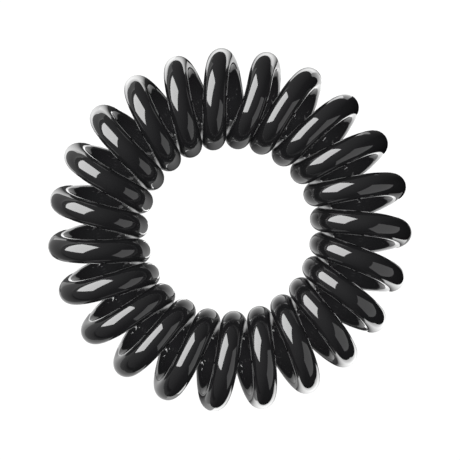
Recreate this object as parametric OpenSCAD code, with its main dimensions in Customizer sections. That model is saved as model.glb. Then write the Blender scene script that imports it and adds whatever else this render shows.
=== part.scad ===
// A spiral hair tie: one round cord, wound in even turns round a ring and
// closed on itself. It lies flat, with its turns' lowest points on z = 0 and
// the ring's axis on the Z axis. All sizes are millimetres and degrees.

/* [Ring] */
// Diameter of the circle that the turns are wound round, through their middles
ring_d = 26.3; // [23:0.1:34]
// Where the first turn reaches furthest out, as an angle round the ring
first_tip_angle = 14.1; // [0:0.1:15]

/* [Turns] */
// Diameter of one turn, to the middle of the cord
turn_d = 7.7; // [6:0.1:9]
// Least space between neighbouring turns at the hole, before they stray
turn_gap = 0.14; // [0.14:0.02:1]

/* [Cord] */
// Diameter of the cord
cord_d = 2.4; // [1.5:0.1:3]

/* [Hidden] */

// How the turns bunch on one side of the ring and spread on the other. Each
// row is a wave: how often it comes round the ring, and how far it shifts a
// turn along the ring, as a share of the angle that one turn takes.
STRAY_SHARES = [
    [1, 0.066],
    [2, -0.014],
    [3, -0.024],
];
function repeats(wave) = wave[0];
function shift(wave) = wave[1];

// One turn leans less than the others. Its top comes this many turns after the
// first tip, and is shifted along the ring by a share of the angle that one
// turn takes. The shift fades out over a share of that angle on either side.
LEAN_TURNS_ON = 4.27;
LEAN_SHARE = -0.16;
LEAN_FADE_SHARE = 0.14;

UP = [0, 0, 1];
// Flat sides of the cord's section
cord_sides = 12;
// Most straight sides in one turn, and in all the turns together
turn_sides_most = 20;
coil_sides_most = 480;

// As many whole turns as the hole's edge has room for
turns = floor(PI * (ring_d - turn_d) / (cord_d + turn_gap));
turn_angle = 360 / turns;
// A whole number of sides in each quarter turn, so that every turn has a
// section at its highest and lowest point
turn_sides = 4 * floor(min(turn_sides_most, coil_sides_most / turns) / 4);
sections = turns * turn_sides;
middle_z = (turn_d + cord_d) / 2;

function unit(v) = v / norm(v);
function outward(angle) = [cos(angle), sin(angle), 0];
function along(angle) = [-sin(angle), cos(angle), 0];

// How many fades the section at even is past the leaning turn's top, and how
// far that turn's lean shifts it
function past_lean(even) =
    ((even - first_tip_angle) / turn_angle - LEAN_TURNS_ON) / LEAN_FADE_SHARE;
function lean(even) = LEAN_SHARE * exp(-pow(past_lean(even), 2));

// Angle round the ring of a section that evenly spread turns would put at even
function strayed(even) = even
    + turn_angle * [for (wave = STRAY_SHARES) shift(wave)]
                 * [for (wave = STRAY_SHARES) cos(repeats(wave) * even)]
    + turn_angle * lean(even);

// How fast that angle grows with the even one
function stray_rate(even) = 1
    - turn_angle * PI / 180 * [for (wave = STRAY_SHARES) shift(wave) * repeats(wave)]
                            * [for (wave = STRAY_SHARES) sin(repeats(wave) * even)]
    - 2 * lean(even) * past_lean(even) / LEAN_FADE_SHARE;

// The corners of one section of the cord. The cord rolls round the ring's
// centre line: roll is 0 where it is furthest out and 90 where it is on top.
// The spoke points from that centre line to the cord, so it is always square
// to the cord, and the sections join without a twist.
function section(roll) =
    let (
        even = first_tip_angle + roll / turns,
        angle = strayed(even),
        spoke = cos(roll) * outward(angle) + sin(roll) * UP,
        over = cos(roll) * UP - sin(roll) * outward(angle),
        middle = ring_d / 2 * outward(angle) + turn_d / 2 * spoke + middle_z * UP,
        ahead = unit(norm([middle.x, middle.y]) * stray_rate(even) * along(angle)
                     + turn_d / 2 * turns * over),
        side = cross(ahead, spoke)
    )
    [for (corner = [0 : cord_sides - 1])
        let (turned = 360 * corner / cord_sides)
        middle + cord_d / 2 * (cos(turned) * spoke + sin(turned) * side)];

// The two triangles between two corners of a section and the same two corners
// of the next one, the last section joining the first
function skin(i, corner) =
    let (
        here = i * cord_sides,
        next = (i + 1) % sections * cord_sides,
        beside = (corner + 1) % cord_sides
    )
    [[here + corner, next + corner, next + beside],
     [here + corner, next + beside, here + beside]];

module spiral_coil() {
    color([0.07, 0.07, 0.075])
        polyhedron(
            points = [for (i = [0 : sections - 1]) each section(360 * i / turn_sides)],
            faces = [for (i = [0 : sections - 1], corner = [0 : cord_sides - 1])
                each skin(i, corner)],
            convexity = 12
        );
}

spiral_coil();
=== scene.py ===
import math

import bpy
from mathutils import Matrix, Vector


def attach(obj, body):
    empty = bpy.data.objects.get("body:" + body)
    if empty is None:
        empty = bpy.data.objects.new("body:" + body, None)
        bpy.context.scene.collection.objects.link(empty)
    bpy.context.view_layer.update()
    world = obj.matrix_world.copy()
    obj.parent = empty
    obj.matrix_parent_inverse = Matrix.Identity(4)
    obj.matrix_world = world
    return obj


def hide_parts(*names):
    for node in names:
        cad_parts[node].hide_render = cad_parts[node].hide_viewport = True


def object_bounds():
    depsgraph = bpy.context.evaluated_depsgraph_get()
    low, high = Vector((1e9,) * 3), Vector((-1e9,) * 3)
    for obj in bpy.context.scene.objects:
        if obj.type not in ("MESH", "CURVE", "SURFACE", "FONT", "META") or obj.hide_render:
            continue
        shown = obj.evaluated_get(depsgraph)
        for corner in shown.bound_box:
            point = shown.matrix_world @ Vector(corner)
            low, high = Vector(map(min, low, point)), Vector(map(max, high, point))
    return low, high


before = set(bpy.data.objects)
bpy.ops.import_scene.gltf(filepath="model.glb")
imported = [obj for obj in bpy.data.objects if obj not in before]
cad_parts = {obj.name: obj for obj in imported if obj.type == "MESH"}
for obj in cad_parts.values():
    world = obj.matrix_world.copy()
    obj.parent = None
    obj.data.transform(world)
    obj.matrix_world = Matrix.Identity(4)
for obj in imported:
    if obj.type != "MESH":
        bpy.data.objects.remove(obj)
cad_low, cad_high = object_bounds()


# The spiral coil: one round cord of black thermoplastic polyurethane, drawn
# through a round die, wound in turns round a ring and set by heat, with its
# two ends fused together. Lengths are metres and angles radians.
CORD_D = 0.0024
TURN_D = (cad_high.z - cad_low.z) - CORD_D
RING_D = 0.0263
TURNS = 23
FIRST_TIP = math.radians(14.1)
TURN_ANGLE = 2 * math.pi / TURNS
MIDDLE_Z = cad_low.z + (TURN_D + CORD_D) / 2
# How the turns bunch and spread: repeats round the ring, share of one turn
STRAYS = ((1, 0.066), (2, -0.014), (3, -0.024))
# The turn that leans less: turns from the first tip to its top, share of one
# turn that this top is shifted by, and share that the shift fades out over
LEAN_TURNS_ON = 4.27
LEAN_SHARE = -0.16
LEAN_FADE_SHARE = 0.14
# Points of the cord's route in one turn, and sides round the cord
TURN_POINTS = 80
CORD_SIDES = 32
CORD_BLACK = (0.009, 0.009, 0.0096, 1)
PLASTIC_IOR = 1.5
# The skin's roughness, what a full haze adds to it, and the height of its swell
# with the share of it that shows. Haze and swell come in so many patches a metre.
SKIN_ROUGHNESS = 0.035
HAZE_ROUGHNESS = 0.05
HAZE_PATCHES = 260
SWELL_HEIGHT = 0.00002
SWELL_STRENGTH = 0.35
SWELL_PATCHES = 420


def deselect_all():
    bpy.ops.object.select_all(action="DESELECT")


def cord_place(even):
    """The middle of the cord where evenly spread turns would be at this angle."""
    roll = TURNS * (even - FIRST_TIP)
    past_lean = (roll / (2 * math.pi) - LEAN_TURNS_ON) / LEAN_FADE_SHARE
    stray = sum(share * math.cos(repeats * even) for repeats, share in STRAYS)
    stray += LEAN_SHARE * math.exp(-past_lean * past_lean)
    angle = even + TURN_ANGLE * stray
    reach = RING_D / 2 + TURN_D / 2 * math.cos(roll)
    return Vector((
        reach * math.cos(angle),
        reach * math.sin(angle),
        MIDDLE_Z + TURN_D / 2 * math.sin(roll),
    ))


# A circle is wound into the closed route, and the route is given its thickness
deselect_all()
bpy.ops.mesh.primitive_circle_add(vertices=TURNS * TURN_POINTS, radius=RING_D / 2)
coil = bpy.context.object
coil.name = coil.data.name = "coiled_cord"
for vertex in coil.data.vertices:
    vertex.co = cord_place(math.atan2(vertex.co.y, vertex.co.x))
bpy.ops.object.convert(target="CURVE")
coil.data.bevel_depth = CORD_D / 2
coil.data.bevel_resolution = CORD_SIDES // 2 - 2
bpy.ops.object.convert(target="MESH")
bpy.ops.object.mode_set(mode="EDIT")
bpy.ops.mesh.select_all(action="SELECT")
bpy.ops.mesh.remove_doubles(threshold=1e-7)
bpy.ops.mesh.normals_make_consistent(inside=False)
bpy.ops.object.mode_set(mode="OBJECT")
bpy.ops.object.shade_smooth()


class Wire:
    """An output of a shader's node. Arithmetic on wires adds Math nodes."""

    def __init__(self, socket):
        self.socket = socket

    def node(self, kind, settings, inputs, output=0):
        """Adds a node beside this one, sets it up, feeds it and returns its output."""
        made = self.socket.id_data.nodes.new(kind)
        for name, value in settings.items():
            setattr(made, name, value)
        feed(made, inputs)
        return Wire(made.outputs[output])

    def math(self, operation, *values):
        return self.node("ShaderNodeMath", {"operation": operation}, dict(enumerate(values)))

    def __add__(self, other):
        return self.math("ADD", self, other)

    def __sub__(self, other):
        return self.math("SUBTRACT", self, other)

    def __rsub__(self, other):
        return self.math("SUBTRACT", other, self)

    def __mul__(self, other):
        return self.math("MULTIPLY", self, other)

    __radd__ = __add__
    __rmul__ = __mul__


def feed(node, inputs):
    """Links a node's inputs to wires, and sets those that are plain values."""
    for name, value in inputs.items():
        if isinstance(value, Wire):
            node.id_data.links.new(value.socket, node.inputs[name])
        else:
            node.inputs[name].default_value = value


def new_material(name):
    """A material and its Principled shader."""
    material = bpy.data.materials.new(name)
    material.use_nodes = True
    return material, material.node_tree.nodes["Principled BSDF"]


def coordinates(shader, kind="Object"):
    """The coordinates of each point that this shader covers."""
    return Wire(shader.id_data.nodes.new("ShaderNodeTexCoord").outputs[kind])


cord_plastic, shader = new_material("glossy_black_polyurethane")
place = coordinates(shader)
haze = place.node(
    "ShaderNodeTexNoise",
    {},
    {"Vector": place, "Scale": HAZE_PATCHES, "Detail": 3, "Roughness": 0.6},
)
swell = place.node(
    "ShaderNodeTexNoise", {}, {"Vector": place, "Scale": SWELL_PATCHES, "Detail": 1}
)
bump = place.node(
    "ShaderNodeBump",
    {},
    {"Strength": SWELL_STRENGTH, "Distance": SWELL_HEIGHT, "Height": swell},
)
feed(shader, {
    "Base Color": CORD_BLACK,
    "IOR": PLASTIC_IOR,
    "Roughness": SKIN_ROUGHNESS + HAZE_ROUGHNESS * haze,
    "Normal": bump,
})
coil.data.materials.append(cord_plastic)
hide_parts("spiral_coil")
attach(coil, "root")


# The floor and the pale dome round it: a plain white sweep, as in a studio,
# burnt out to white. The cord's gloss sees the cards below instead of it.
SWEEP_R = 0.6
SWEEP_GREY = (0.12, 0.12, 0.12, 1)
FLOOR_GLOW, DOME_GLOW = 0.88, 0.95
WHITE = (1, 1, 1, 1)
ROUND_SIDES = 96


def glowing(name, strength):
    """A matt material that gives its own even light."""
    material, shader = new_material(name)
    feed(shader, {
        "Base Color": SWEEP_GREY,
        "Roughness": 1,
        "Specular IOR Level": 0,
        "Emission Color": WHITE,
        "Emission Strength": strength,
    })
    return material


def dressed(name, material):
    """The primitive that was just added, with its name and material."""
    piece = bpy.context.object
    piece.name = name
    piece.data.materials.append(material)
    return piece


deselect_all()
bpy.ops.mesh.primitive_circle_add(vertices=ROUND_SIDES, radius=SWEEP_R, fill_type="NGON")
floor = dressed("pale_floor", glowing("white_sweep", FLOOR_GLOW))
deselect_all()
bpy.ops.mesh.primitive_uv_sphere_add(
    segments=ROUND_SIDES, ring_count=ROUND_SIDES // 2, radius=SWEEP_R
)
dome = dressed("pale_dome", glowing("white_dome", DOME_GLOW))
for sweep in (floor, dome):
    sweep.visible_glossy = False
    sweep.visible_shadow = False
    sweep.visible_diffuse = False


# The light cards: glowing patches that only the cord's gloss sees. They are painted
# reflections of lit patches of the white sheet that the tie lies on, and of rings
# a clear plate's thickness under it that show between the turns. The camera sees
# through them all.
CARD_Z = 0.00001
CARD_STEPS = 60
PLATE_THICKNESS = 0.005
# The sheet's edges, from the ring's middle, and a mark for a card that meets them
SHEET_LEFT, SHEET_RIGHT, SHEET_BOTTOM, SHEET_TOP = -0.0211, 0.0208, -0.0256, 0.0253
SHEET_EDGE = None
# No card glows brighter than this
CARD_LIGHT_MOST = 4.5
BLACK = (0, 0, 0, 1)
# Each card's name, the degrees round the ring that it spans, from the right and
# over the top, its inner and outer edge, its depth under the floor, its light, and
# how much that grows in a metre to the right, up, and out from its inner edge.
# The growth out from the inner edges, the hole's growth towards the lower right and
# the dim cards paint the tie's shadow on the sheet. The hole is darker towards the
# upper left, and the sheet is darker near the ring and dim under the cord.
CARDS = (
    ("hole_card", 0, 360, 0, 0.007, 0, 0.8, 63, -83, 0),
    ("hole_rim_card", 172, 235, 0.007, 0.0076, 0, 3.5, 0, 0, 0),
    # Painted shade: a dim ring under the cord's inner edge
    ("hole_edge_card", 0, 360, 0.0076, 0.0095, 0, 0.3, 0, 0, 0),
    ("upper_right_card", 48, 57, 0.0179, SHEET_EDGE, 0, 1.6, 0, 0, 0),
    ("top_card", 57, 106, 0.019, SHEET_EDGE, 0, 0, 0, 0, 900),
    ("upper_left_card", 106, 130, 0.0182, SHEET_EDGE, 0, 0, 0, 0, 900),
    ("left_card", 130, 174, 0.018, SHEET_EDGE, 0, 0, 0, 0, 700),
    ("lower_left_card", 197, 250, 0.0167, SHEET_EDGE, 0, 0.84, 0, 0, 0),
    ("lower_card", 250, 263, 0.017, SHEET_EDGE, 0, 0, 0, 0, 200),
    ("bottom_card", 263, 302, 0.018, SHEET_EDGE, 0, 0, 0, 0, 900),
    ("lower_right_card", 302, 350, 0.0178, SHEET_EDGE, 0, 0, 0, 0, 900),
    ("right_card", 350, 365, 0.0173, SHEET_EDGE, 0, 0.5, 0, 0, 0),
    ("left_table", 112, 247, SHEET_EDGE, 0.17, 0, 0.5, 0, 10, 0),
    ("under_card", 0, 360, 0.0094, 0.0166, PLATE_THICKNESS, 0.65, 0, 0, 0),
    ("under_right_card", -48, 62, 0.0166, 0.0188, PLATE_THICKNESS, 2.1, 0, 0, 0),
    ("under_top_card", 62, 93, 0.0172, 0.02, PLATE_THICKNESS, 1.3, 0, 0, 0),
    ("under_left_card", 124, 206, 0.0166, 0.0176, PLATE_THICKNESS, 2.4, 0, 0, 0),
    ("under_lower_left_card", 206, 220, 0.0166, 0.0196, PLATE_THICKNESS, 1.8, 0, 0, 0),
    ("under_bottom_card", 220, 292, 0.0168, 0.0224, PLATE_THICKNESS, 0.5, 0, 0, 0),
    ("far_card", 108, 191, 0.0198, 0.045, PLATE_THICKNESS, 0.75, 0, 0, 0),
)


def edge_reach(edge, angle):
    """How far a card's edge is from the ring's middle at this angle."""
    if edge is not SHEET_EDGE:
        return edge
    right, up = math.cos(angle), math.sin(angle)
    sides = ((SHEET_RIGHT, right), (SHEET_LEFT, right), (SHEET_TOP, up), (SHEET_BOTTOM, up))
    return min(side / part for side, part in sides if side * part > 0)


def gloss_only(piece):
    """Leaves a stage piece to the gloss alone."""
    piece.visible_camera = False
    piece.visible_diffuse = False
    piece.visible_shadow = False
    piece.visible_transmission = False


for name, start, end, inner, outer, depth, light, grows_right, grows_up, grows_out in CARDS:
    glow, shader = new_material(name + "_glow")
    place = coordinates(shader)
    slope = place.node(
        "ShaderNodeVectorMath",
        {"operation": "DOT_PRODUCT"},
        {0: place, 1: (grows_right, grows_up, 0)},
        "Value",
    )
    away = place.node("ShaderNodeVectorMath", {"operation": "LENGTH"}, {0: place}, "Value")
    grows_from = 0 if inner is SHEET_EDGE else inner
    # The card's glow, with the painted shade of its growth, darkest at its start
    shine = light + slope + grows_out * (away - grows_from)
    shine = shine.math("MINIMUM", shine, CARD_LIGHT_MOST)
    feed(shader, {
        "Base Color": BLACK,
        "Specular IOR Level": 0,
        "Emission Color": WHITE,
        "Emission Strength": shine.math("MAXIMUM", shine, 0),
    })
    deselect_all()
    bpy.ops.mesh.primitive_grid_add(x_subdivisions=CARD_STEPS, y_subdivisions=1, size=1)
    card = dressed(name, glow)
    # The grid is bent round the ring: its X runs along the arc, its Y outward
    for vertex in card.data.vertices:
        angle = math.radians(start + (end - start) * (vertex.co.x + 0.5))
        near, far = edge_reach(inner, angle), edge_reach(outer, angle)
        reach = near + (far - near) * (vertex.co.y + 0.5)
        vertex.co = (reach * math.cos(angle), reach * math.sin(angle), CARD_Z - depth)
    gloss_only(card)


# The flag: a black wall inside the turns, so that the low side of the coil
# doesn't show the panels through the slots. Only the gloss sees it.
FLAG_R = 0.0134
FLAG_LOW, FLAG_HIGH = 0.0027, 0.0072
flag_cloth, shader = new_material("black_flag_cloth")
feed(shader, {"Base Color": BLACK, "Specular IOR Level": 0})
deselect_all()
bpy.ops.mesh.primitive_cylinder_add(
    vertices=ROUND_SIDES,
    radius=FLAG_R,
    depth=FLAG_HIGH - FLAG_LOW,
    end_fill_type="NOTHING",
    location=(0, 0, (FLAG_LOW + FLAG_HIGH) / 2),
)
gloss_only(dressed("black_flag", flag_cloth))


# The lamps: a large soft panel high on the left and a small dim one low on
# the right make the highlights, and a soft box and five fill lights light the
# plastic. The studio round them is palest on the upper left.
# Straight down but for a hair, because a panel takes its level side from the
# way that it faces and the upright
NEARLY_DOWN = 0.001 - math.pi / 2
# Fill light from above and from four sides: strength, tilt from upright, azimuth
FILLS = ((1.9, 0, 0), (1.2, 1.05, 0.8), (1.2, 1.05, 2.37), (1.2, 1.05, 3.94), (1.2, 1.05, 5.51))
# The studio's light, and how much it grows to the right, up and overhead
STUDIO_LIGHT = 0.12
STUDIO_GROWTH = (-0.22, 0.14, 0.06)


def put_in_scene(name, data):
    """An object for a lamp or a camera."""
    made = bpy.data.objects.new(name, data)
    bpy.context.scene.collection.objects.link(made)
    return made


def soft_panel(name, middle, azimuth, rise, spin, width, height, radiance):
    """A rectangular lamp whose face looks along azimuth and rise, turned by spin."""
    data = bpy.data.lights.new(name, "AREA")
    data.shape = "RECTANGLE"
    data.size, data.size_y = width, height
    # The watts that give this radiance over the whole face
    data.energy = radiance * math.pi * width * height
    lamp = put_in_scene(name, data)
    facing = Vector((
        math.cos(rise) * math.cos(azimuth),
        math.cos(rise) * math.sin(azimuth),
        math.sin(rise),
    ))
    side = Vector((0, 0, 1)).cross(facing).normalized()
    up = facing.cross(side)
    across = math.cos(spin) * side + math.sin(spin) * up
    along = -math.sin(spin) * side + math.cos(spin) * up
    turn = Matrix((-across, along, -facing)).transposed().to_4x4()
    lamp.matrix_world = Matrix.Translation(middle) @ turn
    lamp.visible_camera = False
    return lamp


left_panel = soft_panel(
    "left_panel",
    middle=(-0.1338, 0.0815, 0.1213),
    azimuth=-0.57,
    rise=-0.72,
    spin=0.02,
    width=0.2467,
    height=0.197,
    radiance=12.5,
)
right_panel = soft_panel(
    "right_panel",
    middle=(0.0430, -0.0267, 0.0341),
    azimuth=2.78,
    rise=-0.17,
    spin=0.11,
    width=0.071,
    height=0.0542,
    radiance=1.3,
)
for panel in (left_panel, right_panel):
    panel.visible_diffuse = False
soft_box = soft_panel(
    "soft_box",
    middle=(-0.06, 0.04, 0.4),
    azimuth=0,
    rise=NEARLY_DOWN,
    spin=0,
    width=0.25,
    height=0.25,
    radiance=1,
)
soft_box.visible_glossy = False
for strength, tilt, azimuth in FILLS:
    fill_data = bpy.data.lights.new("fill", "SUN")
    fill_data.energy = strength
    fill_data.use_shadow = False
    fill = put_in_scene("fill", fill_data)
    fill.rotation_euler = (0, tilt, azimuth)
    fill.visible_glossy = False
world = bpy.data.worlds.new("dim_studio")
bpy.context.scene.world = world
world.use_nodes = True
studio = world.node_tree.nodes["Background"]
way = coordinates(studio, "Generated")
pale = STUDIO_LIGHT + way.node(
    "ShaderNodeVectorMath", {"operation": "DOT_PRODUCT"}, {0: way, 1: STUDIO_GROWTH}, "Value"
)
feed(studio, {"Color": WHITE, "Strength": pale.math("MAXIMUM", pale, 0)})


# The camera looks straight down on the tie, as the photograph does. FRAME_WIDTH
# is what it takes in at the height of the turns' middle.
CAMERA_DISTANCE = 0.27
CAMERA_RIGHT = 0.00005
FRAME_WIDTH = 0.046
camera_data = bpy.data.cameras.new("camera")
camera = put_in_scene("camera", camera_data)
camera.location = (CAMERA_RIGHT, 0, MIDDLE_Z + CAMERA_DISTANCE)
camera_data.lens = camera_data.sensor_width * CAMERA_DISTANCE / FRAME_WIDTH
camera_data.clip_start = 0.01
camera_data.clip_end = 5
bpy.context.scene.camera = camera
bpy.context.scene.view_settings.view_transform = "Standard"
